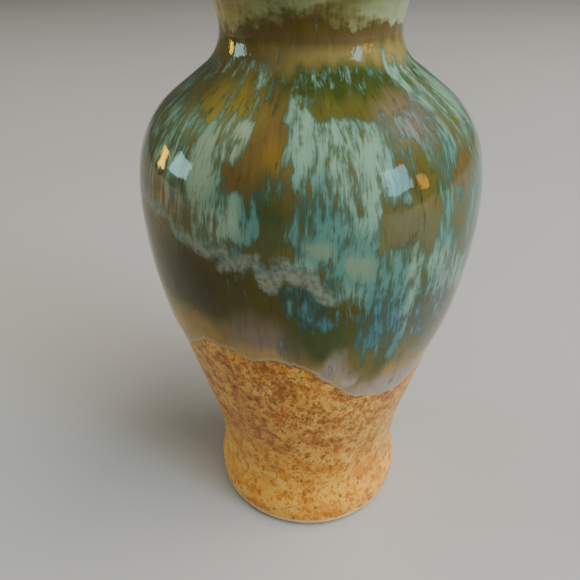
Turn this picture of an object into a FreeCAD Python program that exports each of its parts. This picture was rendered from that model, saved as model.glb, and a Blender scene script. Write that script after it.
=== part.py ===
"""Ceramic bud vase: a hollow stoneware body and the glaze coats that lie on it.

The part stands on its foot ring at z = 0, with its axis on +Z and its front facing -Y.
Every outline is drawn in the half-plane through the axis as a chain of turns. A turn is an arc that
carries the outline from one heading to the next. A heading is the outline's direction of travel in
degrees, measured outwards from straight up. Arcs with the same centre are parallel, so a coat of even
thickness is the same chain of turns with other radii.
"""
import FreeCAD, Part
import math
import os
from collections import namedtuple

# Driving dimensions in millimetres, on the bare clay
FOOT_RADIUS = 23.4
FOOT_HEIGHT = 5.0           # height of the foot's slight bulge
WAIST_RADIUS = 22.2
WAIST_HEIGHT = 15.4
BELLY_RADIUS = 34.2
BELLY_HEIGHT = 82.3
NECK_RADIUS = 16.1
NECK_HEIGHT = 114.2
WALL = 3.2
FOOT_RING_WIDTH = 4.0
RECESS_DEPTH = 2.5
RECESS_FILLET = 1.6
FLOOR_FILLET = 8.0          # inside, between the floor and the wall
BARE_EDGE_HEIGHT = 1.3      # unglazed clay round the foot

# Radii of the turns, from the foot to the lip
FOOT_EDGE_TURN = 1.0
FOOT_TURN = 16.0
WAIST_LOWER_TURN = 26.0
WAIST_UPPER_TURN = 60.0
BELLY_LOWER_TURN = 104.0
BELLY_UPPER_TURN = 40.5
SHOULDER_TURN = 18.0
NECK_LOWER_TURN = 9.0
NECK_UPPER_TURN = 11.8
SHOULDER_HEADING = -14.0    # where the belly's curve tightens into the shoulder
LIP_HEADING = 52.0          # the lip's flare

# Thickness of each coat
LOWER_COAT = 0.3
UPPER_COAT = 0.8
RIM_COAT = 0.4
RECESS_COAT = 0.3

# Edges between coats: mean height, then waves as (amplitude, waves round the vase, phase in degrees)
OLIVE_EDGE = (53.5, [(6.5, 3, 72), (1.5, 2, 60), (1.0, 7, 0), (0.7, 11, 40)])
TURQUOISE_EDGE = (78.5, [(9.0, 1, 90), (1.6, 5, 30), (1.2, 9, 0), (0.8, 14, 70)])
RIM_EDGE = (114.6, [(0.8, 2, 0), (0.6, 5, 50), (0.5, 9, 0)])
EDGE_POINTS = 96

AXIS = FreeCAD.Vector(0, 0, 1)
ORIGIN = FreeCAD.Vector(0, 0, 0)

Turn = namedtuple("Turn", "centre_r centre_z radius start end")


def on_turn(turn, heading, offset=0.0):
    """The (r, z) point of a turn at a heading. A hollow turn has a negative radius."""
    reach = turn.radius + offset
    angle = math.radians(heading)
    return (turn.centre_r + reach * math.cos(angle), turn.centre_z - reach * math.sin(angle))


def shared_heading(lower, upper):
    """The heading of the straight run that touches both turns."""
    dr = upper.centre_r - lower.centre_r
    dz = upper.centre_z - lower.centre_z
    lean = math.acos((lower.radius - upper.radius) / math.hypot(dr, dz))
    return math.degrees(lean - math.atan2(dz, dr))


def inside_turn(outer, radius, heading):
    """A tighter turn that leaves the outer one at a heading."""
    r, z = on_turn(outer, heading, -radius)
    return Turn(r, z, radius, heading, heading)


def outline_turns():
    """The turns of the bare clay outline, from the foot's flat to the inside of the lip."""
    foot = Turn(FOOT_RADIUS - FOOT_TURN, FOOT_HEIGHT, FOOT_TURN, 0, 0)
    edge_heading = math.degrees(math.asin((FOOT_HEIGHT - FOOT_EDGE_TURN) / (FOOT_TURN - FOOT_EDGE_TURN)))
    foot_edge = inside_turn(foot, FOOT_EDGE_TURN, edge_heading)
    waist_lower = Turn(WAIST_RADIUS + WAIST_LOWER_TURN, WAIST_HEIGHT, -WAIST_LOWER_TURN, 0, 0)
    waist_upper = Turn(WAIST_RADIUS + WAIST_UPPER_TURN, WAIST_HEIGHT, -WAIST_UPPER_TURN, 0, 0)
    belly_lower = Turn(BELLY_RADIUS - BELLY_LOWER_TURN, BELLY_HEIGHT, BELLY_LOWER_TURN, 0, 0)
    belly_upper = Turn(BELLY_RADIUS - BELLY_UPPER_TURN, BELLY_HEIGHT, BELLY_UPPER_TURN, 0, 0)
    shoulder = inside_turn(belly_upper, SHOULDER_TURN, SHOULDER_HEADING)
    neck_lower = Turn(NECK_RADIUS + NECK_LOWER_TURN, NECK_HEIGHT, -NECK_LOWER_TURN, 0, 0)
    neck_upper = Turn(NECK_RADIUS + NECK_UPPER_TURN, NECK_HEIGHT, -NECK_UPPER_TURN, 0, 0)
    lip = inside_turn(neck_upper, WALL / 2, LIP_HEADING)

    foot_leaves = shared_heading(foot, waist_lower)
    waist_leaves = shared_heading(waist_upper, belly_lower)
    shoulder_leaves = shared_heading(shoulder, neck_lower)
    return {
        "foot_edge": foot_edge._replace(start=90, end=edge_heading),
        "foot": foot._replace(start=edge_heading, end=foot_leaves),
        "waist_lower": waist_lower._replace(start=foot_leaves, end=0),
        "waist_upper": waist_upper._replace(start=0, end=waist_leaves),
        "belly_lower": belly_lower._replace(start=waist_leaves, end=0),
        "belly_upper": belly_upper._replace(start=0, end=SHOULDER_HEADING),
        "shoulder": shoulder._replace(start=SHOULDER_HEADING, end=shoulder_leaves),
        "neck_lower": neck_lower._replace(start=shoulder_leaves, end=0),
        "neck_upper": neck_upper._replace(start=0, end=LIP_HEADING),
        "lip": lip._replace(start=LIP_HEADING, end=LIP_HEADING - 180),
    }


TURNS = outline_turns()
ORDER = list(TURNS)


def span(first, last):
    """The turns from one name to another, both included."""
    return [TURNS[name] for name in ORDER[ORDER.index(first):ORDER.index(last) + 1]]


def vector(point):
    """An (r, z) point in the half-plane that the outlines are drawn in."""
    return FreeCAD.Vector(point[0], 0, point[1])


def straight(start, end):
    """An edge between two (r, z) points, or nothing where they meet."""
    a, b = vector(start), vector(end)
    return [] if a.distanceToPoint(b) < 1e-6 else [Part.LineSegment(a, b).toShape()]


def chain(turns, offset=0.0):
    """The edges along some turns at an offset from the clay, with their first and last points."""
    edges = []
    last = None
    for turn in turns:
        start = on_turn(turn, turn.start, offset)
        middle = on_turn(turn, (turn.start + turn.end) / 2, offset)
        end = on_turn(turn, turn.end, offset)
        if last:
            edges += straight(last, start)
        edges.append(Part.Arc(vector(start), vector(middle), vector(end)).toShape())
        last = end
    first = on_turn(turns[0], turns[0].start, offset)
    return edges, first, last


def revolved(edges):
    """The solid that a closed outline sweeps round the axis."""
    wire = Part.Wire(Part.__sortEdges__(edges))
    return Part.Face(wire).revolve(ORIGIN, AXIS, 360)


def coat(turns, inner_offset, outer_offset):
    """An even coat between two offsets from the clay outline."""
    inner, inner_first, inner_last = chain(turns, inner_offset)
    outer, outer_first, outer_last = chain(turns, outer_offset)
    ends = straight(inner_first, outer_first) + straight(inner_last, outer_last)
    return revolved(inner + outer + ends)


def edge_height(edge, azimuth):
    """The height of a glaze edge at an azimuth in radians, counted from the front towards +X."""
    mean, waves = edge
    return mean + sum(size * math.cos(count * azimuth + math.radians(phase)) for size, count, phase in waves)


def edge_curve(edge, radius):
    """A closed smooth curve at one radius that rises and falls with the glaze edge."""
    points = []
    for step in range(EDGE_POINTS):
        azimuth = 2 * math.pi * step / EDGE_POINTS
        height = edge_height(edge, azimuth)
        points.append(FreeCAD.Vector(radius * math.sin(azimuth), -radius * math.cos(azimuth), height))
    curve = Part.BSplineCurve()
    curve.interpolate(points, PeriodicFlag=True)
    return curve.toShape()


def space_above(edge):
    """Everything above a glaze edge, as a thick wavy ring to cut coats with.

    The ring reaches from well inside the neck to well outside the belly, and far over the lip.
    """
    within = edge_curve(edge, NECK_RADIUS / 2)
    beyond = edge_curve(edge, BELLY_RADIUS * 1.5)
    return Part.makeRuledSurface(within, beyond).extrude(AXIS * 2 * NECK_HEIGHT)


def floor_points():
    """The start of the inside wall at the waist, the middle of the floor fillet, and its end."""
    radius = WAIST_RADIUS - WALL
    fillet = Turn(radius - FLOOR_FILLET, WAIST_HEIGHT, FLOOR_FILLET, 90, 0)
    return [on_turn(fillet, heading) for heading in (0, 45, 90)]


def recess_points(inset=0.0):
    """The recess in the underside: ring's inner edge, fillet start, middle and end."""
    radius = TURNS["foot_edge"].centre_r - FOOT_RING_WIDTH - inset
    top = RECESS_DEPTH - inset
    fillet = RECESS_FILLET - inset
    slant = fillet * math.sqrt(0.5)
    middle = (radius - fillet + slant, top - fillet + slant)
    return [(radius, 0.0), (radius, top - fillet), middle, (radius - fillet, top)]


def arc_through(points):
    """An arc through three (r, z) points, as a list of one edge."""
    return [Part.Arc(*[vector(point) for point in points]).toShape()]


def stoneware_body():
    """The hollow clay body, with its foot ring and recessed underside."""
    outer, foot, _ = chain(span("foot_edge", "lip"))
    inner, inner_start, inner_end = chain(span("waist_upper", "neck_upper"), -WALL)
    lip_end = on_turn(TURNS["lip"], TURNS["lip"].end)
    wall_start, fillet_middle, floor_edge = floor_points()
    ring, recess_wall, recess_middle, recess_edge = recess_points()
    floor_centre = (0.0, floor_edge[1])
    recess_centre = (0.0, recess_edge[1])

    edges = outer + straight(lip_end, inner_end) + inner + straight(inner_start, wall_start)
    edges += arc_through([wall_start, fillet_middle, floor_edge])
    edges += straight(floor_edge, floor_centre) + straight(floor_centre, recess_centre)
    edges += straight(recess_centre, recess_edge)
    edges += arc_through([recess_edge, recess_middle, recess_wall])
    edges += straight(recess_wall, ring) + straight(ring, foot)
    return revolved(edges)


def speckled_glaze():
    """The coat on the foot and lower body, from the bare clay edge up to the olive coat."""
    foot = TURNS["foot"]
    lean = math.degrees(math.asin((FOOT_HEIGHT - BARE_EDGE_HEIGHT) / FOOT_TURN))
    turns = [foot._replace(start=lean)] + span("waist_lower", "belly_lower")
    return coat(turns, 0, LOWER_COAT).cut(space_above(OLIVE_EDGE))


def olive_glaze():
    """The thick coat round the lower belly."""
    whole = coat(span("waist_upper", "shoulder"), 0, UPPER_COAT)
    return whole.common(space_above(OLIVE_EDGE)).cut(space_above(TURQUOISE_EDGE))


def turquoise_glaze():
    """The running coat on the shoulder and neck."""
    whole = coat(span("belly_lower", "neck_upper"), 0, UPPER_COAT)
    return whole.common(space_above(TURQUOISE_EDGE)).cut(space_above(RIM_EDGE))


def rim_glaze():
    """The coat on the neck and over the lip."""
    whole = coat(span("neck_lower", "lip"), 0, RIM_COAT)
    return whole.common(space_above(RIM_EDGE))


def liner_glaze():
    """The coat on the inside wall and floor."""
    wall = span("waist_upper", "neck_upper")
    bare, bare_start, bare_end = chain(wall, -WALL)
    glazed, glazed_start, glazed_end = chain(wall, -WALL - RIM_COAT)
    wall_start, fillet_middle, floor_edge = floor_points()
    inner = Turn(floor_edge[0], WAIST_HEIGHT, FLOOR_FILLET - RIM_COAT, 90, 0)
    inner_start, inner_middle, inner_edge = [on_turn(inner, heading) for heading in (0, 45, 90)]

    edges = bare + glazed + straight(bare_end, glazed_end)
    edges += straight(bare_start, wall_start) + straight(glazed_start, inner_start)
    edges += arc_through([wall_start, fillet_middle, floor_edge])
    edges += arc_through([inner_start, inner_middle, inner_edge])
    edges += straight(floor_edge, (0.0, floor_edge[1])) + straight(inner_edge, (0.0, inner_edge[1]))
    edges += straight((0.0, floor_edge[1]), (0.0, inner_edge[1]))
    return revolved(edges)


def recess_glaze():
    """The coat in the recess of the underside, as far as the fillet beside the foot ring."""
    _, bare_start, bare_middle, bare_end = recess_points()
    _, coat_start, coat_middle, coat_end = recess_points(RECESS_COAT)
    edges = arc_through([bare_start, bare_middle, bare_end])
    edges += arc_through([coat_start, coat_middle, coat_end])
    edges += straight(bare_start, coat_start)
    edges += straight(bare_end, (0.0, bare_end[1])) + straight(coat_end, (0.0, coat_end[1]))
    edges += straight((0.0, bare_end[1]), (0.0, coat_end[1]))
    return revolved(edges)


PIECES = [stoneware_body, speckled_glaze, olive_glaze, turquoise_glaze, rim_glaze, liner_glaze, recess_glaze]


def main():
    """Write each piece to its own file, and print its volume in cubic millimetres."""
    os.makedirs("parts", exist_ok=True)
    for piece in PIECES:
        solid, = piece().Solids
        if not solid.isValid():
            raise ValueError(piece.__name__ + " isn't a valid solid")
        print(piece.__name__, round(solid.Volume, 1))
        solid.exportStep("parts/" + piece.__name__ + ".step")


main()
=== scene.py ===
import math
import bpy
import numpy as np
from mathutils import Matrix, Vector


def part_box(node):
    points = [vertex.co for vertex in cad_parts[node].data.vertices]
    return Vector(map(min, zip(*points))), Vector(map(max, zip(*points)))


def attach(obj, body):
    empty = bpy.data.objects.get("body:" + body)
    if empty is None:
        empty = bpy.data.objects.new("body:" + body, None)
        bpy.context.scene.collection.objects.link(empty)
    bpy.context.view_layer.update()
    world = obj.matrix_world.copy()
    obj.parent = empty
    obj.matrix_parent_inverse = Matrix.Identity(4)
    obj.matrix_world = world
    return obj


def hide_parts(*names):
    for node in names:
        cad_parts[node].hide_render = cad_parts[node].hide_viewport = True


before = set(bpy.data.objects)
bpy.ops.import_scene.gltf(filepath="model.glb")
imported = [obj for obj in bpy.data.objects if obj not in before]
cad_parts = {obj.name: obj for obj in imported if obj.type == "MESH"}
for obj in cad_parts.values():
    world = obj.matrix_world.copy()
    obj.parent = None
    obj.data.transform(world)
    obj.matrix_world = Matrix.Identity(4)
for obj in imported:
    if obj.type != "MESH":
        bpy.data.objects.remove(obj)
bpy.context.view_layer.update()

MM = 0.001                  # in metres

# ---------------------------------------------------------------- the clay outline, in millimetres
# The same chain of turns as the CAD model: a turn is an arc from one heading to the next, and a
# heading is measured in degrees outwards from straight up. A hollow turn has a negative radius.
FOOT_RADIUS, FOOT_HEIGHT, FOOT_TURN, FOOT_EDGE_TURN = 23.4, 5.0, 16.0, 1.0
WAIST_RADIUS, WAIST_HEIGHT, WAIST_LOWER_TURN, WAIST_UPPER_TURN = 22.2, 15.4, 26.0, 60.0
BELLY_RADIUS, BELLY_HEIGHT, BELLY_LOWER_TURN, BELLY_UPPER_TURN = 34.2, 82.3, 104.0, 40.5
NECK_RADIUS, NECK_HEIGHT, NECK_LOWER_TURN, NECK_UPPER_TURN = 16.1, 114.2, 9.0, 11.8
SHOULDER_TURN, SHOULDER_HEADING = 18.0, -14.0
LIP_HEADING, WALL = 52.0, 3.2

# Thickness of each coat on the clay, in millimetres
LOWER_COAT, UPPER_COAT, RIM_COAT = 0.3, 0.8, 0.4
BARE_EDGE_HEIGHT = 1.3

# Mean height of each glaze edge, then waves as (amplitude, waves round, phase in degrees)
OLIVE_EDGE = (53.5, [(6.5, 3, 72), (1.5, 2, 60), (1.0, 7, 0), (0.7, 11, 40)])
TURQUOISE_EDGE = (78.5, [(9.0, 1, 90), (1.6, 5, 30), (1.2, 9, 0), (0.8, 14, 70)])
RIM_EDGE = (114.6, [(0.8, 2, 0), (0.6, 5, 50), (0.5, 9, 0)])

TURN_STEPS = 60             # points along one turn
RUN_STEP = 0.05             # between the points that the outline is kept as
SIZE_TOLERANCE = 0.25       # between the outline here and the packed clay


def turn_point(turn, heading):
    """The (r, z) point of a turn, given as its centre and radius, at a heading."""
    r, z, radius = turn
    angle = np.radians(heading)
    return r + radius * np.cos(angle), z - radius * np.sin(angle)


def inside_turn(outer, radius, heading):
    """A tighter turn that leaves the outer one at a heading."""
    r, z = turn_point((outer[0], outer[1], outer[2] - radius), heading)
    return (r, z, radius)


def shared_heading(lower, upper):
    """The heading of the straight run that touches both turns."""
    dr, dz = upper[0] - lower[0], upper[1] - lower[1]
    lean = math.acos((lower[2] - upper[2]) / math.hypot(dr, dz))
    return math.degrees(lean - math.atan2(dz, dr))


def clay_outline():
    """Arc length, radius, height and heading in even steps along the outside, from the foot's flat."""
    foot = (FOOT_RADIUS - FOOT_TURN, FOOT_HEIGHT, FOOT_TURN)
    edge = math.degrees(math.asin((FOOT_HEIGHT - FOOT_EDGE_TURN) / (FOOT_TURN - FOOT_EDGE_TURN)))
    waist_lower = (WAIST_RADIUS + WAIST_LOWER_TURN, WAIST_HEIGHT, -WAIST_LOWER_TURN)
    waist_upper = (WAIST_RADIUS + WAIST_UPPER_TURN, WAIST_HEIGHT, -WAIST_UPPER_TURN)
    belly_lower = (BELLY_RADIUS - BELLY_LOWER_TURN, BELLY_HEIGHT, BELLY_LOWER_TURN)
    belly_upper = (BELLY_RADIUS - BELLY_UPPER_TURN, BELLY_HEIGHT, BELLY_UPPER_TURN)
    shoulder = inside_turn(belly_upper, SHOULDER_TURN, SHOULDER_HEADING)
    neck_lower = (NECK_RADIUS + NECK_LOWER_TURN, NECK_HEIGHT, -NECK_LOWER_TURN)
    neck_upper = (NECK_RADIUS + NECK_UPPER_TURN, NECK_HEIGHT, -NECK_UPPER_TURN)
    lip = inside_turn(neck_upper, WALL / 2, LIP_HEADING)
    foot_leaves = shared_heading(foot, waist_lower)
    waist_leaves = shared_heading(waist_upper, belly_lower)
    shoulder_leaves = shared_heading(shoulder, neck_lower)
    turns = [
        (inside_turn(foot, FOOT_EDGE_TURN, edge), 90, edge),
        (foot, edge, foot_leaves),
        (waist_lower, foot_leaves, 0),
        (waist_upper, 0, waist_leaves),
        (belly_lower, waist_leaves, 0),
        (belly_upper, 0, SHOULDER_HEADING),
        (shoulder, SHOULDER_HEADING, shoulder_leaves),
        (neck_lower, shoulder_leaves, 0),
        (neck_upper, 0, LIP_HEADING),
        (lip, LIP_HEADING, LIP_HEADING - 180),
    ]
    headings = np.concatenate([np.linspace(start, end, TURN_STEPS) for _, start, end in turns])
    points = np.concatenate([np.stack(turn_point(turn, np.linspace(start, end, TURN_STEPS)), 1)
                             for turn, start, end in turns])
    run = np.concatenate([[0], np.cumsum(np.hypot(*np.diff(points, axis=0).T))])
    steps = np.arange(0, run[-1], RUN_STEP)
    return steps, *[np.interp(steps, run, column) for column in (points[:, 0], points[:, 1], headings)]


RUN, OUT_R, OUT_Z, OUT_HEADING = clay_outline()
CREST = int(np.argmax(OUT_Z))       # the top of the lip
FLOW = np.cumsum(np.gradient(RUN) * BELLY_RADIUS / np.maximum(OUT_R, NECK_RADIUS))


def check_against_frame():
    """Stop if the outline here and the packed clay body differ in size."""
    low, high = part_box("stoneware_body")
    gaps = (high[0] / MM - OUT_R.max(), low[2] / MM - OUT_Z.min(), high[2] / MM - OUT_Z.max())
    if max(abs(gap) for gap in gaps) > SIZE_TOLERANCE:
        raise ValueError("the outline doesn't fit the packed clay body")


def run_at(z):
    """Arc length at a height on the outside."""
    return np.interp(z, OUT_Z[:CREST], RUN[:CREST])


def flow_at(run):
    """Arc length drawn out where the vase is narrow, so that streaks keep their proportions there."""
    return np.interp(run, RUN, FLOW)


def height_at(run):
    """Height of a point on the outside, from its arc length."""
    return np.interp(run, RUN, OUT_Z)


def on_outline(run, lift):
    """Radius and height of a point lifted off the clay."""
    heading = np.radians(np.interp(run, RUN, OUT_HEADING))
    r = np.interp(run, RUN, OUT_R) + lift * np.cos(heading)
    return r, np.interp(run, RUN, OUT_Z) - lift * np.sin(heading)


# ---------------------------------------------------------------- seamless noise on the vase
def ripple(seed, azimuth, run, across, along, waves=14):
    """Smooth noise from about -1 to 1, seamless round the vase, with features of some sizes in mm.

    Each seed gives a pattern of its own.
    """
    chance = np.random.default_rng(seed)
    total = np.zeros(np.broadcast(azimuth, run).shape)
    for _ in range(waves):
        count = round(2 * math.pi * 30 / across * chance.uniform(0.45, 1.3)) * chance.choice([-1, 1])
        pitch = 2 * math.pi / along * chance.uniform(0.2, 1.2)
        total += np.cos(count * azimuth + pitch * run + chance.uniform(0, 2 * math.pi))
    return total / math.sqrt(waves / 2) / 2


def edge_height(edge, azimuth):
    """The height of a glaze edge at an azimuth."""
    mean, waves = edge
    return mean + sum(size * np.cos(count * azimuth + math.radians(phase)) for size, count, phase in waves)


def smooth(low, high, value):
    """A soft step from 0 at low to 1 at high. Low may be above high, for a step down."""
    t = np.clip((value - low) / (high - low), 0, 1)
    return t * t * (3 - 2 * t)


# ---------------------------------------------------------------- colours
def rgb(text):
    """Linear colour from a six-digit sRGB code."""
    channels = np.array([int(text[i:i + 2], 16) for i in (0, 2, 4)]) / 255
    return np.where(channels <= 0.04045, channels / 12.92, ((channels + 0.055) / 1.055) ** 2.4)


GLAZE = {name: rgb(code) for name, code in {
    "black_olive": "332c08", "dark_olive": "423c10", "olive": "57521c", "gold": "504e22",
    "ochre": "8c6a1c", "honey": "847442", "old_gold": "7c7230", "moss": "3b4326", "grey_olive": "565438",
    "orange": "785e24", "amber": "604e2a", "brown": "5a4826", "deep_brown": "544208", "green": "343f18",
    "mauve_brown": "756352", "mauve": "94857a", "tan": "a07e42", "grey_green": "4a4f3c", "pink": "b49a7c",
    "celadon": "74917a", "pale": "84957a", "teal": "4b7569", "deep_teal": "2a5049", "blue": "3c6b6d",
    "pool": "6d8066", "cream": "787c68", "beige": "86744e", "mauve_streak": "70746c",
    "grey_blue": "66797a",
}.items()}

# Colours of the glass itself, seen through the clear top of the glaze. Each patch is (colour,
# azimuth, height, half width in degrees, half height in mm, strength). Azimuth 0 faces the front and
# grows towards +X.
UNDER_FRONT = [
    ("black_olive", -40, 76, 34, 8, 1.0), ("dark_olive", -12, 73, 12, 9, 0.9),
    ("dark_olive", -66, 75, 14, 9, 0.7), ("ochre", -42, 64, 18, 4, 0.9), ("tan", -52, 60, 14, 3, 0.7),
    ("mauve_brown", -17, 66, 9, 5, 0.9), ("mauve_brown", -10, 63, 8, 4, 0.9),
    ("tan", -15, 61.5, 11, 2.5, 0.8), ("green", 3, 67, 10, 7, 1.0), ("green", 22, 66, 12, 8, 0.6),
    ("gold", 20, 58, 8, 6, 0.8), ("mauve", 8, 59, 4, 4, 0.8), ("mauve", 2, 54.5, 4, 3.5, 1.0),
    ("pink", 13.5, 54.3, 2.6, 1.2, 1.0), ("mauve", 12, 56, 4, 3, 0.6), ("mauve", 32, 50, 14, 3.5, 0.7),
    ("grey_green", 46, 66, 20, 12, 0.8), ("green", 24, 60, 3, 5, 0.6), ("grey_olive", 26, 88, 9, 4, 0.9),
    ("grey_olive", 33, 85, 8, 4, 0.9), ("amber", -15, 102, 8, 5.5, 1.0),
    ("orange", -12, 98.7, 5, 2.2, 0.6), ("moss", -10, 89, 9, 6, 1.0), ("amber", -6, 94, 2, 3, 0.4),
    ("gold", -6, 84, 4, 1.5, 0.7), ("old_gold", -40, 104, 17, 4, 0.9), ("orange", -30, 106, 7, 2, 0.5),
    ("brown", -62, 106, 16, 4, 0.8), ("gold", 22, 104.5, 26, 2.6, 1.0), ("green", 15, 108, 30, 2.4, 1.0),
    ("mauve_brown", 36, 102, 12, 3, 0.7), ("gold", 36, 95, 5, 4, 0.8), ("amber", 54, 93, 9, 4, 0.9),
    ("brown", -54, 89, 20, 5, 1.0), ("brown", -24, 96.5, 7, 3, 0.8), ("brown", -42, 110.5, 30, 2.6, 0.8),
    ("grey_green", 56, 80, 14, 10, 0.8),
]

# Streaked opaque glass that has run down from the neck. The last figure is how much of the ground it
# covers: 0 clears a patch, 0.5 leaves streaks with ground between them, and 0.9 is nearly solid.
OVER_FRONT = [
    ("celadon", -48, 98, 18, 7, 0.5), ("pale", -27, 101, 9, 5, 0.68), ("pale", -34, 96, 4, 5, 0.78),
    ("celadon", -1, 100, 9, 6, 0.77), ("celadon", 10, 98, 9, 7, 0.64), ("celadon", 20, 97, 12, 6, 0.61),
    ("teal", 30, 98, 7, 5, 0.57), ("mauve_streak", 38, 101.5, 12, 3, 0.5), ("teal", 47, 97, 7, 4, 0.58),
    ("celadon", 60, 101, 10, 5, 0.53), ("teal", -18, 88.6, 9, 4.0, 0.64),
    ("pale", -26, 88.6, 5.5, 3.6, 0.74), ("beige", -54, 88, 18, 5, 0.42), ("teal", 1, 92, 6, 5, 0.5),
    ("olive", -14.5, 101, 6.5, 5.6, 0.0), ("olive", -22, 95.8, 5, 2.2, 0.15),
    ("olive", -9.5, 90, 4.5, 4.5, 0.12), ("olive", -11, 85, 7, 2.2, 0.0),
    ("olive", 26, 88.3, 7, 3.4, 0.05), ("olive", 33, 85.5, 6, 3.6, 0.12), ("olive", 34, 93, 4, 4, 0.16),
    ("olive", 54, 93, 8, 3, 0.2), ("gold", -40, 105, 16, 2.4, 0.16), ("gold", 20, 105.2, 22, 2.0, 0.1),
    ("celadon", -36, 104, 2.5, 3, 0.56), ("teal", 2, 87, 6, 3.6, 0.74), ("pool", 2, 86, 3.2, 1.5, 0.86),
    ("teal", 13.5, 84, 7, 5, 0.62), ("teal", 13.6, 82.0, 5.4, 3.6, 0.62),
    ("pool", 11.6, 83.0, 2.4, 1.5, 0.86), ("pool", 14.8, 81.4, 2.9, 2.5, 0.86),
    ("teal", 42, 86, 4, 9, 0.6), ("celadon", 43, 77, 6, 5, 0.68), ("pool", 42, 76.8, 2.6, 1.8, 0.86),
    ("pool", 44.5, 75.4, 2.6, 2.2, 0.86), ("teal", 23, 76, 9, 8, 0.52), ("blue", 19, 70, 6, 6, 0.56),
    ("blue", 28, 67, 6, 7, 0.55), ("celadon", 31, 76, 2.2, 9, 0.7), ("grey_blue", 40, 66, 11, 9, 0.45),
    ("celadon", 57, 77, 3, 9, 0.68), ("teal", 52, 86, 8, 7, 0.36), ("teal", 66, 84, 9, 12, 0.53),
    ("pale", -44, 109, 30, 2, 0.36), ("celadon", 12, 108.3, 18, 2, 0.3),
    ("celadon", 46, 108, 3, 3.4, 0.65), ("pale", 57, 107.5, 6, 2.6, 0.6),
]

# Streaks below the pale line, where thinner glass ran on.
DRIPS = [
    ("deep_teal", -3, 76.5, 8, 4.0, 0.5), ("deep_teal", 1, 72.5, 5, 4.0, 0.46),
    ("teal", -4.8, 75.4, 1.3, 2.0, 0.5), ("blue", -0.8, 73.8, 1.6, 2.2, 0.54),
    ("blue", 3.6, 71.0, 1.5, 2.2, 0.5), ("blue", 9, 73, 2.6, 4, 0.56),
    ("grey_blue", -9, 65, 1.6, 3.5, 0.42), ("deep_teal", 130, 67, 12, 5, 0.6),
    ("deep_teal", 215, 72, 9, 6, 0.6), ("blue", 262, 78, 8, 6, 0.5),
]

# The pale line where the running glass stopped: (azimuth, height, half width in mm) round the vase.
# A negative half width leaves no line there.
PALE_LINE = [
    (-180, 76, 0.9), (-168, 79, 1.1), (-155, 77, 1.0), (-140, 80.5, 1.2), (-124, 82, 0.9),
    (-110, 86, 1.1), (-96, 86, 0.9), (-82, 89, 0.8), (-68, 88.5, 0.6), (-57, 87, 0.7), (-46, 87, 0.8),
    (-43, 85, 1.0), (-37, 84.5, 1.2), (-31, 83, 1.2), (-25, 84, 0.9), (-24, 81.5, 1.2), (-19, 82.5, 1.1),
    (-16, 83.5, 0.9), (-12, 78.5, 1.3), (-8, 83.5, 0.9), (-7, 81, 1.2), (-4, 81, 1.4), (0, 80, 1.3),
    (3, 78.5, 1.2), (5, 76.5, 1.0), (7, 75.5, 0.4), (9, 75, -2.5), (92, 66, -2.5), (96, 67, 0.8),
    (108, 69, 1.1), (122, 72, 1.0), (133, 70, 1.2), (148, 73, 1.0), (164, 72, 1.1), (180, 76, 0.9),
]
NO_LINE = -9.0              # a depth in the pale line that is far outside it

# Patches of the same sorts for the sides and back: (colour, height, half height, strength or cover)
BACK_UNDER_SORTS = [
    ("gold", 104, 3, 1.0), ("amber", 99, 6, 0.9), ("brown", 90, 6, 0.9), ("dark_olive", 78, 8, 0.9),
    ("ochre", 63, 4, 0.8), ("olive", 86, 5, 0.8), ("green", 69, 6, 0.8), ("mauve_brown", 62, 4, 0.7),
]
BACK_OVER_SORTS = [
    ("celadon", 100, 6, 0.8), ("teal", 95, 7, 0.62), ("pale", 101, 4, 0.7), ("teal", 86, 7, 0.62),
    ("blue", 76, 8, 0.6), ("pool", 82, 2.4, 0.8), ("celadon", 84, 8, 0.7), ("mauve_streak", 92, 4, 0.45),
    ("olive", 100, 4, 0.1), ("olive", 90, 4, 0.08), ("gold", 105, 2.4, 0.15),
]
BACK_SEED = 11
BACK_PATCHES = 34
BACK_START, BACK_SWEEP = 80, 200        # the degrees of azimuth that the front's lists leave out
GOLDEN_SHARE = 0.618                    # of the sweep from each patch to the next, so that they spread


def back_patches():
    """Scattered patches for the sides and back, for the ground and for the streaks over it."""
    chance = np.random.default_rng(BACK_SEED)
    under, over = [], []
    for index in range(BACK_PATCHES):
        for sorts, patches in ((BACK_UNDER_SORTS, under), (BACK_OVER_SORTS, over)):
            colour, height, tall, strength = sorts[index % len(sorts)]
            spacing = index * GOLDEN_SHARE % 1
            azimuth = BACK_START + BACK_SWEEP * spacing + chance.uniform(-6, 6)
            wide = chance.uniform(0.7, 1.5) * (9 if tall > 4 else 6)
            patches.append((colour, azimuth, height + chance.uniform(-3, 3), wide, tall, strength))
    return under, over


def blob(azimuth, z, centre, height, half_width, half_height, firmness):
    """How much of a patch is present at each point, from 0 to 1. More firmness gives a harder edge."""
    across = (azimuth - centre + 180) % 360 - 180
    reach = np.hypot(across / half_width, (z - height) / half_height)
    return smooth(1.5 - firmness, 0.5 + firmness, reach)


def ground_colour(z):
    """The colour of the upper glaze by height alone."""
    bands = [(46, "mauve"), (54, "tan"), (60, "ochre"), (67, "olive"), (73, "dark_olive"), (86, "olive"),
             (95, "brown"), (101, "olive"), (105, "gold"), (107.4, "green"), (109.4, "honey"),
             (111.5, "honey"), (114, "brown"), (116, "deep_brown"), (120, "deep_brown")]
    heights = [height for height, _ in bands]
    colours = np.array([GLAZE[name] for _, name in bands])
    return np.stack([np.interp(z, heights, channel) for channel in colours.T], -1)


def ground_cover(z):
    """How much streaked glass there is by height alone."""
    steps = [(58, 0.0), (66, 0.2), (74, 0.45), (84, 0.5), (103, 0.5), (106, 0.3), (108, 0.32),
             (109.5, 0.15), (111, 0.0)]
    heights, covers = zip(*steps)
    return np.interp(z, heights, covers)


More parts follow.
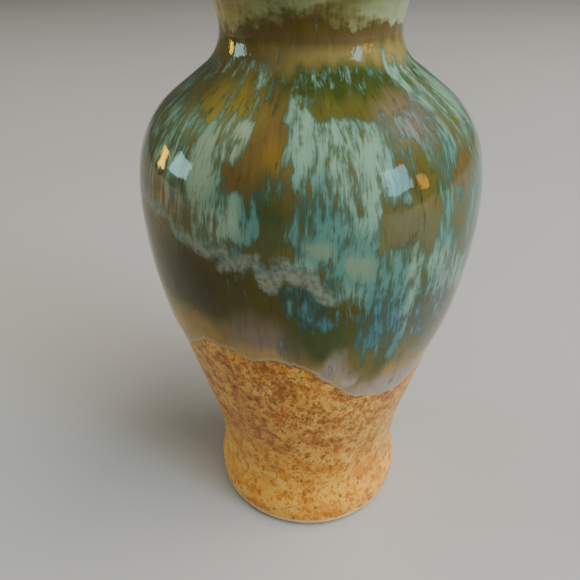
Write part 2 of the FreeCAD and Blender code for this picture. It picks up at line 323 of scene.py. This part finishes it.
def depth_in_line(degrees, z):
    """Distance inside the edge of the pale line, in millimetres: negative outside it."""
    mm_per_degree = math.radians(BELLY_RADIUS)
    depth = np.full(z.shape, NO_LINE)
    for (a0, z0, w0), (a1, z1, w1) in zip(PALE_LINE, PALE_LINE[1:]):
        along = np.array([(a1 - a0) * mm_per_degree, z1 - z0])
        offset = (degrees - a0) * mm_per_degree, z - z0
        t = np.clip((offset[0] * along[0] + offset[1] * along[1]) / (along @ along), 0, 1)
        distance = np.hypot(offset[0] - t * along[0], offset[1] - t * along[1])
        depth = np.maximum(depth, w0 + (w1 - w0) * t - distance)
    return depth


# How hard the edges of patches are, by what they are made of
UNDER_FIRMNESS, STREAKY_FIRMNESS, SOLID_FIRMNESS, DRIP_FIRMNESS = -0.2, -0.15, 0.1, 0.15
CLEARED, SOLID = 0.1, 0.85      # a patch whose cover lies between these is streaky


def paint(azimuth, run):
    """Ground colour, streak colour, streak cover and depth inside the pale line at each point.

    The patches are looked up at warped places, so that their outlines waver as melted glass does.
    """
    z = height_at(run)
    degrees = np.degrees(azimuth)
    warped_azimuth = degrees + 1.6 * ripple(23, azimuth, run, 12, 14) + 1.0 * ripple(27, azimuth, run, 4, 7)
    warped_z = z + 0.5 * ripple(21, azimuth, run, 5, 30) + 0.6 * ripple(24, azimuth, run, 7, 8)
    under = ground_colour(z + 0.4 * ripple(28, azimuth, run, 7, 20))
    hue = smooth(-0.5, 0.6, ripple(29, azimuth, run, 9, 16))[..., None]
    over = GLAZE["teal"] * (1 - hue) + GLAZE["celadon"] * hue
    cover = ground_cover(z) + 0.08 * ripple(30, azimuth, run, 9, 14)
    back_under, back_over = back_patches()
    for colour, *area, strength in UNDER_FRONT + back_under:
        share = (strength * blob(warped_azimuth, warped_z, *area, UNDER_FIRMNESS))[..., None]
        under = under * (1 - share) + GLAZE[colour] * share
    for colour, *area, covering in OVER_FRONT + back_over:
        firmness = STREAKY_FIRMNESS if CLEARED < covering < SOLID else SOLID_FIRMNESS
        share = blob(warped_azimuth, warped_z, *area, firmness)
        over = over * (1 - share[..., None]) + GLAZE[colour] * share[..., None]
        cover = cover * (1 - share) + covering * share

    line = depth_in_line(warped_azimuth, z + 0.35 * ripple(26, azimuth, run, 3, 6))
    line_azimuth, line_height, line_width = np.array(PALE_LINE, dtype=float).T
    below = smooth(-0.3, -1.3, z - np.interp(warped_azimuth, line_azimuth, line_height))
    below = below * np.interp(degrees, line_azimuth, np.clip(line_width + 2.0, 0, 1))
    cover = cover * (1 - below)
    for colour, *area, covering in DRIPS:
        share = blob(warped_azimuth, warped_z, *area, DRIP_FIRMNESS) * below
        over = over * (1 - share[..., None]) + GLAZE[colour] * share[..., None]
        cover = cover * (1 - share) + covering * share
    return under, over, cover, line


# ---------------------------------------------------------------- glaze coats as meshes
COLUMNS = 512               # points round the vase
EDGE_STEPS = (0.0, 0.03, 0.09, 0.18, 0.3, 0.45, 0.65, 0.95)     # distances of the rows along an edge
BACK_ROWS = 24              # rows of points on the side that lies on the clay


def coat_grid(low_run, high_run, rows):
    """Arc lengths of a grid of points between two edges, closer together along each edge."""
    steps = np.array(EDGE_STEPS)
    inner = np.linspace(0, 1, rows - 2 * len(steps) + 2)[1:-1]
    first = low_run[None, :] + steps[:, None]
    last = high_run[None, :] - steps[::-1, None]
    middle = first[-1] + (last[0] - first[-1]) * inner[:, None]
    return np.concatenate([first, middle, last])


def rolled(distance, width):
    """The rounded shoulder of a glaze edge: 0 at the edge, 1 from a distance of its width."""
    t = np.clip(distance / width, 0, 1)
    return np.sqrt(1 - (1 - t) ** 2)


def ring_mesh(name, rings):
    """A closed mesh of rings of points, each joined to the next, and the last to the first."""
    total, count, _ = rings.shape
    points = rings.reshape(-1, 3) * MM
    ring, column = np.meshgrid(np.arange(total), np.arange(count), indexing="ij")
    above = (ring + 1) % total
    beside = (column + 1) % count
    quads = np.stack([ring * count + column, ring * count + beside, above * count + beside,
                      above * count + column], -1).reshape(-1, 4)
    mesh = bpy.data.meshes.new(name)
    mesh.vertices.add(len(points))
    mesh.vertices.foreach_set("co", points.ravel())
    mesh.loops.add(quads.size)
    mesh.loops.foreach_set("vertex_index", quads.ravel().astype(np.int32))
    mesh.polygons.add(len(quads))
    mesh.polygons.foreach_set("loop_start", np.arange(0, quads.size, 4, dtype=np.int32))
    mesh.update(calc_edges=True)
    mesh.polygons.foreach_set("use_smooth", np.ones(len(quads), dtype=bool))
    mesh.validate()
    return mesh


def place(azimuth, radius, z):
    """Points from cylindrical coordinates, with azimuth 0 at the front."""
    return np.stack([radius * np.sin(azimuth), -radius * np.cos(azimuth), z], -1)


def give(mesh, name, kind, values):
    """Store one value, vector or colour for each point of a mesh."""
    layer = mesh.attributes.new(name, kind, "POINT")
    key = {"FLOAT": "value", "FLOAT_VECTOR": "vector", "FLOAT_COLOR": "color"}[kind]
    if kind == "FLOAT_COLOR":
        values = np.concatenate([values, np.ones(values.shape[:-1] + (1,))], -1)
    layer.data.foreach_set(key, np.ascontiguousarray(values, dtype=np.float32).ravel())


def coat_piece(name, low_run, high_run, rows, thickness, painted, node):
    """A closed coat between two edges, whose outer side follows a thickness in millimetres.

    The outer side has some rows of points. A painted coat also carries the pattern of running glass.
    The coat replaces a CAD node, which it hides.
    """
    azimuth = np.linspace(0, 2 * math.pi, COLUMNS, endpoint=False)
    low, high = low_run(azimuth), high_run(azimuth)
    run = coat_grid(low, high, rows)
    round_azimuth = np.broadcast_to(azimuth, run.shape)
    lift = thickness(round_azimuth, run, run - low, high - run)
    radius, z = on_outline(run, lift)
    outer = place(round_azimuth, radius, z)
    back_run = high + (low - high) * np.linspace(0, 1, BACK_ROWS)[1:-1, None]
    back_radius, back_z = on_outline(back_run, 0.0)
    back = place(np.broadcast_to(azimuth, back_run.shape), back_radius, back_z)
    mesh = ring_mesh(name, np.concatenate([outer, back]))

    all_run = np.concatenate([run, back_run])
    all_azimuth = np.broadcast_to(azimuth, all_run.shape)
    around = ((all_azimuth + math.pi) % (2 * math.pi)) - math.pi
    flow = np.stack([BELLY_RADIUS * np.sin(all_azimuth), -BELLY_RADIUS * np.cos(all_azimuth),
                     flow_at(all_run)], -1)
    give(mesh, "flow", "FLOAT_VECTOR", flow)
    give(mesh, "margin", "FLOAT", all_run - low)
    if painted:
        under, over, cover, line = paint(around, all_run)
        give(mesh, "under", "FLOAT_COLOR", under)
        give(mesh, "over", "FLOAT_COLOR", over)
        give(mesh, "cover", "FLOAT", cover)
        give(mesh, "line", "FLOAT", line)
    piece = bpy.data.objects.new(name, mesh)
    bpy.context.scene.collection.objects.link(piece)
    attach(piece, "root")
    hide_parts(node)
    return piece


def surface_waver(azimuth, run):
    """Slow unevenness of the melted surface, in millimetres, never above zero."""
    return 0.03 * ripple(31, azimuth, run, 16, 14) + 0.014 * ripple(32, azimuth, run, 6, 7) - 0.06


def upper_thickness(azimuth, run, from_low, from_high):
    """The running coat: slightly proud of the olive coat along its lower edge, and thin at the neck."""
    return (UPPER_COAT + surface_waver(azimuth, run)) * rolled(from_low, 0.7) * rolled(from_high, 0.3)


def olive_thickness(azimuth, run, from_low, from_high):
    """The olive coat thins out downwards, and goes on a little way under the running coat."""
    body = LOWER_COAT + 0.12 + (UPPER_COAT - LOWER_COAT - 0.16) * smooth(0, 9, from_low)
    return (body + surface_waver(azimuth, run)) * rolled(from_low, 0.45) * rolled(from_high, 0.3)


def speckled_thickness(azimuth, run, from_low, from_high):
    """The thin even coat on the foot and waist."""
    waver = 0.4 * surface_waver(azimuth, run)
    return (LOWER_COAT + waver) * rolled(from_low, 0.4) * rolled(from_high, 0.3)


def rim_thickness(azimuth, run, from_low, from_high):
    """The rim coat lies over the neck's glaze at its lower edge, and on bare clay over the lip."""
    body = RIM_COAT + (UPPER_COAT + 0.04 - RIM_COAT) * smooth(7, 1, from_low)
    waver = surface_waver(azimuth, run) * smooth(0, 2, from_high)
    return (body + waver) * rolled(from_low, 1.4) * rolled(from_high, 0.3)


def ragged(edge, seed, size, across):
    """A glaze edge with small uneven tongues added, as arc length against azimuth."""
    def low(azimuth):
        tongues = sum(weight * ripple(seed + step, azimuth, azimuth * 0, across / divide, 60)
                      for step, (weight, divide) in enumerate([(1.0, 1), (0.5, 3), (0.3, 6)]))
        return run_at(edge_height(edge, azimuth) + size * tongues)
    return low


TUCK, NECK_TUCK = 2.0, 1.5      # how far a coat goes on under the next one up, along the clay


def build_coats():
    """The four coats that show on the outside, each tucked under the next one up where they meet."""
    turquoise_low = ragged(TURQUOISE_EDGE, 41, 0.5, 6)
    olive_low = ragged(OLIVE_EDGE, 51, 0.45, 7)
    rim_low = ragged(RIM_EDGE, 61, 0.5, 5)
    bare_edge = ragged((BARE_EDGE_HEIGHT, []), 47, 0.15, 9)
    return {
        "speckled": coat_piece("speckled_coat", bare_edge, lambda a: olive_low(a) + TUCK, 170,
                               speckled_thickness, False, "speckled_glaze"),
        "olive": coat_piece("olive_coat", olive_low, lambda a: turquoise_low(a) + TUCK, 100,
                            olive_thickness, True, "olive_glaze"),
        "turquoise": coat_piece("turquoise_coat", turquoise_low, lambda a: rim_low(a) + NECK_TUCK, 150,
                                upper_thickness, True, "turquoise_glaze"),
        "rim": coat_piece("rim_coat", rim_low, lambda a: a * 0 + RUN[-1], 90,
                          rim_thickness, False, "rim_glaze"),
    }


# ---------------------------------------------------------------- materials
class Graph:
    """A short way to write a material's nodes."""

    def __init__(self, name):
        self.material = bpy.data.materials.new(name)
        self.material.use_nodes = True
        self.tree = self.material.node_tree
        self.shader = self.tree.nodes["Principled BSDF"]

    def node(self, kind, *values, **settings):
        """A new node: values fill its inputs in order, as links or constants, and None skips one."""
        made = self.tree.nodes.new("ShaderNode" + kind)
        for key, value in settings.items():
            setattr(made, key, value)
        for socket, value in zip(made.inputs, values):
            self.fill(socket, value)
        return made

    def fill(self, socket, value):
        """Link a socket, or set it to a constant."""
        if isinstance(value, bpy.types.NodeSocket):
            self.tree.links.new(value, socket)
        elif value is not None:
            socket.default_value = value

    def attribute(self, name, output="Color"):
        """A value that the mesh carries at each point."""
        return self.node("Attribute", attribute_name=name).outputs[output]

    def math(self, operation, *values):
        """One arithmetic step."""
        return self.node("Math", *values, operation=operation).outputs[0]

    def stretch(self, vector, x, y, z):
        """A vector times a factor on each axis."""
        return self.node("VectorMath", vector, (x, y, z), operation="MULTIPLY").outputs[0]

    def shift(self, vector, other):
        """The sum of two vectors."""
        return self.node("VectorMath", vector, other, operation="ADD").outputs[0]

    def millimetres(self):
        """The point's own place on the object, in millimetres."""
        return self.stretch(self.node("TexCoord").outputs["Object"], 1 / MM, 1 / MM, 1 / MM)

    def noise(self, vector, detail=2.0, roughness=0.5, output=0):
        """Cloudy noise with features one unit in size: output 0 is a value, and 1 is a colour."""
        made = self.node("TexNoise")
        self.fill(made.inputs["Vector"], vector)
        for key, value in (("Scale", 1.0), ("Detail", detail), ("Roughness", roughness)):
            made.inputs[key].default_value = value
        return made.outputs[output]

    def cells(self, vector):
        """Random cells one unit in size: the distance to the nearest centre, and the cell's colour."""
        made = self.node("TexVoronoi")
        self.fill(made.inputs["Vector"], vector)
        made.inputs["Scale"].default_value = 1.0
        return made.outputs

    def spread(self, value, low, high, to_low=0.0, to_high=1.0):
        """A soft step between two values, from one result to another."""
        made = self.node("MapRange", value, low, high, to_low, to_high, interpolation_type="SMOOTHSTEP")
        return made.outputs[0]

    def mix(self, share, first, second, mode="MIX"):
        """Two colours mixed, with a share of the second."""
        made = self.node("Mix", data_type="RGBA", blend_type=mode)
        self.fill(made.inputs[0], share)
        for index, value in ((6, first), (7, second)):
            linked = isinstance(value, bpy.types.NodeSocket)
            self.fill(made.inputs[index], value if linked else (*value, 1.0))
        return made.outputs[2]

    def tint(self, share, colour, factors):
        """A colour multiplied by some factors, as far as the share says."""
        return self.mix(share, colour, factors, "MULTIPLY")

    def bump(self, height, distance, strength, normal=None):
        """Relief from a height map, on top of another normal if there is one."""
        made = self.node("Bump")
        self.fill(made.inputs["Height"], height)
        made.inputs["Distance"].default_value = distance
        made.inputs["Strength"].default_value = strength
        if normal:
            self.fill(made.inputs["Normal"], normal)
        return made.outputs[0]

    def finish(self, colour, roughness, normal, **constants):
        """Fill the shader's sockets and hand back the material."""
        self.fill(self.shader.inputs["Base Color"], colour)
        self.fill(self.shader.inputs["Roughness"], roughness)
        self.fill(self.shader.inputs["Normal"], normal)
        for key, value in constants.items():
            self.shader.inputs[key.replace("_", " ")].default_value = value
        return self.material


WARM_GLOSS = (1.0, 0.86, 0.62, 1.0)      # the tint of reflections in the running glass
THIN_GLASS = (0.26, 0.46)       # the densities between which a thin veil shows over the ground
FULL_GLASS = (0.42, 0.80)       # the densities between which the glass turns opaque


def even(g, noise):
    """Noise stretched to fill most of the range from 0 to 1."""
    return g.node("MapRange", noise, 0.3, 0.7).outputs[0]


def streaks(g, flow, across, along, sway=1.4, detail=3.0, roughness=0.55):
    """Noise from 0 to 1 drawn out along the run of the glaze, in millimetres, with a gentle sway."""
    drift = g.noise(g.stretch(flow, 0.16, 0.16, 0.09), 2.0, output=1)
    centred = g.node("VectorMath", drift, (0.5, 0.5, 0.5), operation="SUBTRACT").outputs[0]
    swayed = g.shift(flow, g.stretch(centred, 2 * sway, 2 * sway, sway))
    return even(g, g.noise(g.stretch(swayed, 1 / across, 1 / across, 1 / along), detail, roughness))


def weigh(g, base, *terms):
    """A base value plus each noise, centred on zero, times its weight."""
    for noise, weight in terms:
        base = g.math("ADD", base, g.math("MULTIPLY", g.math("SUBTRACT", noise, 0.5), weight))
    return base


def upper_glaze(name, with_margin):
    """Glossy running glaze: a clear coloured ground, with opaque streaks drawn down over it.

    With a margin, a pale ridge follows the coat's lower edge.
    """
    g = Graph(name)
    flow = g.attribute("flow", "Vector")
    tongues = streaks(g, flow, 2.6, 11.0)
    threads = streaks(g, flow, 0.9, 6.5, detail=4.0, roughness=0.6)
    hairs = streaks(g, flow, 0.32, 4.4, detail=4.0, roughness=0.6)
    clouds = g.noise(g.stretch(flow, 0.22, 0.22, 0.16), 3.0)
    grains = even(g, g.noise(g.stretch(flow, 1.3, 1.3, 1.0), 3.0, 0.6))
    smoke = streaks(g, flow, 2.0, 3.6, detail=5.0, roughness=0.62)

    density = weigh(g, g.attribute("cover", "Fac"),
                    (tongues, 0.42), (smoke, 0.40), (threads, 0.50), (hairs, 0.26))
    under = g.attribute("under")
    under = g.tint(g.spread(threads, 0.4, 0.95, 0.0, 0.35), under, (0.55, 0.52, 0.5))
    under = g.tint(g.spread(hairs, 0.6, 0.1, 0.0, 0.25), under, (1.7, 1.65, 1.6))
    under = g.tint(g.spread(clouds, 0.45, 0.75, 0.0, 0.4), under, (1.4, 1.35, 1.2))
    over = g.attribute("over")
    over = g.tint(g.spread(tongues, 0.6, 0.15, 0.0, 0.35), over, (0.62, 0.84, 0.95))
    thin = g.mix(0.72, under, g.tint(1.0, over, (0.38, 0.47, 0.46)))
    colour = g.mix(g.spread(density, *THIN_GLASS), under, thin)
    colour = g.mix(g.spread(density, *FULL_GLASS), colour, over)
    colour = g.tint(g.spread(hairs, 0.32, 0.08, 0.0, 0.45), colour, (0.42, 0.48, 0.46))

    frayed = weigh(g, g.attribute("line", "Fac"), (grains, 0.5), (threads, 0.6))
    cream = g.mix(g.spread(grains, 0.1, 0.7), GLAZE["cream"] * 0.62, GLAZE["cream"])
    cream = g.tint(g.spread(frayed, 1.0, 0.0, 0.0, 0.7), cream, (0.55, 0.72, 0.85))
    colour = g.mix(g.spread(frayed, -0.65, 0.35, 0.0, 0.9), colour, cream)
    if with_margin:
        uneven = weigh(g, g.attribute("margin", "Fac"), (clouds, 1.2), (grains, 0.4))
        ridge = g.math("MULTIPLY", g.spread(uneven, 0.3, 0.7), g.spread(uneven, 1.7, 0.9))
        colour = g.mix(g.math("MULTIPLY", ridge, 0.42), colour, GLAZE["pink"])
        colour = g.mix(g.spread(uneven, 0.5, 0.15, 0.0, 0.6), colour, GLAZE["brown"])
    ripples = g.noise(g.stretch(flow, 0.3, 0.3, 0.2), 2.0)
    normal = g.bump(ripples, 0.00012, 0.6)
    normal = g.bump(density, 0.00002, 0.3, normal)
    roughness = g.spread(density, 0.3, 0.8, 0.05, 0.09)
    return g.finish(colour, roughness, normal, IOR=1.45, Specular_IOR_Level=0.4, Specular_Tint=WARM_GLOSS)


def dots(g, vector, pitch, spare, channel=0):
    """Scattered soft-edged dots of mixed sizes, taller than wide, about a pitch apart.

    More spare gives fewer and smaller ones, and another channel gives them other sizes.
    """
    cell = g.cells(g.stretch(vector, 1 / pitch, 1 / pitch, 0.62 / pitch))
    size = g.node("SeparateColor", cell[1]).outputs[channel]
    edge = g.math("SUBTRACT", g.math("ADD", cell[0], spare), g.math("MULTIPLY", size, 0.62))
    return g.spread(edge, 0.12, -0.1)


def speckled_glaze():
    """Satin honey glaze, thick with rust and cream specks, blotched orange towards the foot, and darkened
    by painted shade up towards the waist.
    """
    g = Graph("speckled_honey")
    millimetres = g.millimetres()
    height = g.node("SeparateXYZ", millimetres).outputs[2]
    wobble = g.node("VectorMath", g.noise(g.stretch(millimetres, 0.9, 0.9, 0.9), 2.0, output=1),
                    (0.5, 0.5, 0.5), operation="SUBTRACT").outputs[0]
    warped = g.shift(millimetres, g.stretch(wobble, 1.6, 1.6, 1.6))
    blotches = even(g, g.noise(g.stretch(millimetres, 0.16, 0.16, 0.16), 3.0, 0.6))
    mottle = even(g, g.noise(g.stretch(millimetres, 0.55, 0.55, 0.36), 3.0, 0.6))
    fine = even(g, g.noise(g.stretch(millimetres, 2.0, 2.0, 1.3), 2.0, 0.5))

    ground = g.mix(g.spread(blotches, 0.3, 0.8), rgb("e8a63a"), rgb("d48418"))
    ground = g.mix(g.spread(mottle, 0.55, 0.95, 0.0, 0.5), ground, rgb("bc700c"))
    # painted shade: the ground darkens from 12 to 30 mm up, towards the waist in the shade of the belly
    ground = g.tint(g.spread(height, 12.0, 30.0, 0.0, 0.5), ground, (0.68, 0.62, 0.50))
    spare = weigh(g, g.spread(height, 10.0, 48.0, 0.08, -0.06), (blotches, -0.1), (mottle, -0.14))
    rust = g.math("MAXIMUM", dots(g, warped, 1.1, spare), dots(g, warped, 0.7, spare, 1))
    rust_colour = g.mix(g.spread(height, 8.0, 34.0), rgb("b0661a"), rgb("8c4806"))
    colour = g.mix(g.math("MULTIPLY", rust, 0.8), ground, rust_colour)
    dark = dots(g, warped, 1.25, g.math("ADD", spare, 0.2), 2)
    colour = g.mix(g.math("MULTIPLY", dark, 0.6), colour, rgb("6a3202"))
    pale = g.math("MULTIPLY", g.spread(mottle, 0.6, 0.2), g.spread(fine, 0.35, 0.8))
    colour = g.mix(g.math("MULTIPLY", pale, 0.6), colour, rgb("f0c468"))
    # a pale band 2 to 3 mm up from the foot's edge: partly the pale edge of the glaze, partly a painted
    # highlight where the rounded edge catches the light
    pale_edge_and_highlight = g.math("MULTIPLY", g.spread(height, 3.2, 2.6), g.spread(height, 1.7, 2.1))
    colour = g.mix(g.math("MULTIPLY", pale_edge_and_highlight, 0.6), colour, rgb("ead2a4"))
    brown_line = g.math("MULTIPLY", g.spread(height, 2.1, 1.8), g.spread(height, 1.2, 1.4))
    colour = g.mix(g.math("MULTIPLY", brown_line, 0.7), colour, rgb("6a3a10"))
    normal = g.bump(fine, 0.00004, 0.35)
    roughness = g.spread(mottle, 0.2, 0.8, 0.36, 0.26)
    return g.finish(colour, roughness, normal, IOR=1.4, Specular_IOR_Level=0.35)


def rim_material():
    """Khaki celadon, clouded and thin at its lower edge, where the brown shows through."""
    g = Graph("celadon_rim")
    flow = g.attribute("flow", "Vector")
    lumps = even(g, g.noise(g.stretch(flow, 0.16, 0.16, 0.2), 4.0, 0.55))
    hairs = streaks(g, flow, 0.7, 2.4)
    clouds = even(g, g.noise(g.stretch(flow, 0.07, 0.07, 0.16), 2.0))
    pale = g.mix(g.spread(clouds, 0.2, 0.8), rgb("6e6428"), rgb("8a905c"))
    pale = g.mix(g.spread(hairs, 0.4, 0.95, 0.0, 0.15), pale, rgb("a0a478"))
    side = g.node("SeparateXYZ", flow).outputs[0]
    pale = g.mix(g.spread(side, 5.0, 34.0, 0.0, 0.7), pale, rgb("98a278"))
    pale = g.mix(g.spread(side, -12.0, -34.0, 0.0, 0.7), pale, rgb("a0822c"))
    above_edge = g.attribute("margin", "Fac")
    pale = g.tint(g.spread(above_edge, 2.0, 6.5, 0.0, 0.6), pale, (0.66, 0.60, 0.42))
    margin = weigh(g, above_edge, (lumps, 4.4), (hairs, 0.4))
    margin = g.math("ADD", margin, g.spread(side, 4.0, 30.0, -0.9, 1.5))
    margin = g.math("ADD", margin, g.spread(side, -10.0, -30.0, 0.0, 1.8))
    colour = g.mix(g.spread(margin, 3.6, 0.4), pale, GLAZE["deep_brown"])
    normal = g.bump(clouds, 0.0001, 0.5)
    return g.finish(colour, 0.09, normal, IOR=1.45, Specular_IOR_Level=0.4)


def liner_material():
    """The same pale glaze inside, with soft pooling."""
    g = Graph("celadon_liner")
    spot = g.millimetres()
    clouds = g.noise(g.stretch(spot, 0.15, 0.15, 0.08), 3.0)
    streaky = g.noise(g.stretch(spot, 0.8, 0.8, 0.12), 3.0)
    colour = g.mix(clouds, rgb("8f8a5e"), rgb("a7a47e"))
    colour = g.mix(g.spread(streaky, 0.55, 0.75, 0.0, 0.5), colour, rgb("6f6a42"))
    return g.finish(colour, 0.12, g.bump(clouds, 0.0001, 0.5), IOR=1.45)


def clay_material():
    """Bare fired stoneware: pale buff, slightly gritty."""
    g = Graph("bare_stoneware")
    spot = g.millimetres()
    grit = g.noise(g.stretch(spot, 2.5, 2.5, 2.5), 4.0, 0.65)
    patches = g.noise(g.stretch(spot, 0.2, 0.2, 0.2), 2.0)
    colour = g.mix(patches, rgb("cdb692"), rgb("b99d76"))
    colour = g.mix(g.spread(grit, 0.6, 0.72, 0.0, 0.7), colour, rgb("7b5a3a"))
    return g.finish(colour, 0.8, g.bump(grit, 0.00008, 0.6), IOR=1.5)


def recess_material():
    """Thin honey glaze in the recess, pooled and freckled."""
    g = Graph("recess_honey")
    spot = g.millimetres()
    clouds = g.noise(g.stretch(spot, 0.14, 0.14, 0.14), 3.0)
    specks = g.noise(g.stretch(spot, 1.2, 1.2, 1.2), 3.0, 0.6)
    colour = g.mix(clouds, rgb("b98340"), rgb("8f5c22"))
    colour = g.mix(g.spread(specks, 0.55, 0.7), colour, rgb("6e3d12"))
    return g.finish(colour, 0.35, g.bump(specks, 0.00004, 0.4), IOR=1.45)


def wear(obj, material):
    """Give a new object its only material."""
    obj.data.materials.clear()
    obj.data.materials.append(material)


def carry(node, material):
    """Give a CAD node's own object a finished material."""
    for slot in bpy.data.objects[node].material_slots:
        slot.material = material


def dress(coats):
    """Give every coat and every CAD node that shows its material."""
    wear(coats["speckled"], speckled_glaze())
    wear(coats["olive"], upper_glaze("olive_glaze_finish", True))
    wear(coats["turquoise"], upper_glaze("turquoise_glaze_finish", False))
    wear(coats["rim"], rim_material())
    carry("stoneware_body", clay_material())
    carry("liner_glaze", liner_material())
    carry("recess_glaze", recess_material())


# ---------------------------------------------------------------- floor, light and camera
FLOOR_SIZE = 8              # in metres


def floor_material():
    """A plain pale grey floor, very slightly clouded and grained."""
    g = Graph("pale_floor")
    place_in_metres = g.node("TexCoord").outputs["Object"]
    tone = g.noise(g.stretch(place_in_metres, 6, 6, 6), 3.0)
    grain = g.noise(g.stretch(place_in_metres, 900, 900, 900), 2.0)
    colour = g.mix(tone, (0.40, 0.39, 0.37), (0.45, 0.44, 0.42))
    return g.finish(colour, 0.75, g.bump(grain, 0.0001, 0.3))


def lay_floor():
    """The floor that the vase stands on, which isn't part of it."""
    bpy.ops.mesh.primitive_plane_add(size=FLOOR_SIZE)
    floor = bpy.context.object
    floor.name = "floor"
    wear(floor, floor_material())


def window_light(name, azimuth, elevation, distance, width, height, power, colour, glossy):
    """An area light that looks at the belly, from an azimuth counted from the back towards +X.

    Sizes are in metres and power in watts. A light that isn't glossy doesn't show in reflections.
    """
    turn, rise = math.radians(azimuth), math.radians(elevation)
    heading = Vector((math.sin(turn) * math.cos(rise), math.cos(turn) * math.cos(rise), math.sin(rise)))
    target = Vector((0, 0, BELLY_HEIGHT * MM))
    light = bpy.data.lights.new(name, "AREA")
    light.shape = "RECTANGLE"
    light.size, light.size_y = width, height
    light.energy = power
    light.color = colour
    holder = bpy.data.objects.new(name, light)
    holder.location = target + heading * distance
    holder.rotation_euler = (-heading).to_track_quat("-Z", "Y").to_euler()
    holder.visible_glossy = glossy
    bpy.context.scene.collection.objects.link(holder)


# Name, azimuth, elevation, distance, width, height, power, colour, and whether it shows in the gloss
LIGHTS = [
    ("window_right", 122, 20, 1.4, 0.36, 0.55, 11, (0.24, 0.62, 1.0), True),
    ("window_left", -87, 13, 1.4, 0.40, 0.38, 6, (0.40, 0.84, 1.0), True),
    ("lamp_right", 107, 11, 1.4, 0.10, 0.30, 1.1, (1.0, 0.50, 0.10), True),
    ("lamp_left", -69, 7, 1.4, 0.16, 0.32, 3.4, (1.0, 0.62, 0.04), True),
    ("soft_key", 108, 50, 1.3, 1.4, 1.4, 32, (1.0, 0.94, 0.84), False),
    ("soft_front", 165, 60, 1.5, 1.6, 1.6, 9, (1.0, 0.94, 0.85), False),
]
ROOM_COLOUR, ROOM_STRENGTH = (0.72, 0.68, 0.60, 1), 0.16


def set_lights():
    """Two windows and two warm lamps that show in the gloss, and the soft light of the studio."""
    for light in LIGHTS:
        window_light(*light)
    world = bpy.data.worlds.new("room")
    world.use_nodes = True
    background = world.node_tree.nodes["Background"]
    background.inputs["Color"].default_value = ROOM_COLOUR
    background.inputs["Strength"].default_value = ROOM_STRENGTH
    bpy.context.scene.world = world


CAMERA_DISTANCE = 116.2     # in front of the vase's axis, in millimetres
CAMERA_HEIGHT = 129.75
CAMERA_SIDE = -1.6
CAMERA_PITCH = 32.2         # degrees below level
CAMERA_TURN = 1.17          # degrees to the left, about the camera's own up axis
CAMERA_SENSOR = 36
CAMERA_LENS = 36.062
NEAREST_SEEN = 0.005        # in metres


def set_camera():
    """The camera, close in front of the vase's shoulder and looking down at it."""
    data = bpy.data.cameras.new("camera")
    data.sensor_width = CAMERA_SENSOR
    data.lens = CAMERA_LENS
    data.clip_start = NEAREST_SEEN
    camera = bpy.data.objects.new("camera", data)
    pitch = Matrix.Rotation(math.radians(90 - CAMERA_PITCH), 4, "X")
    turn = Matrix.Rotation(math.radians(CAMERA_TURN), 4, "Y")
    stand = Vector((CAMERA_SIDE, -CAMERA_DISTANCE, CAMERA_HEIGHT)) * MM
    camera.matrix_world = Matrix.Translation(stand) @ (pitch @ turn)
    bpy.context.scene.collection.objects.link(camera)
    bpy.context.scene.camera = camera


check_against_frame()
dress(build_coats())
lay_floor()
set_lights()
set_camera()
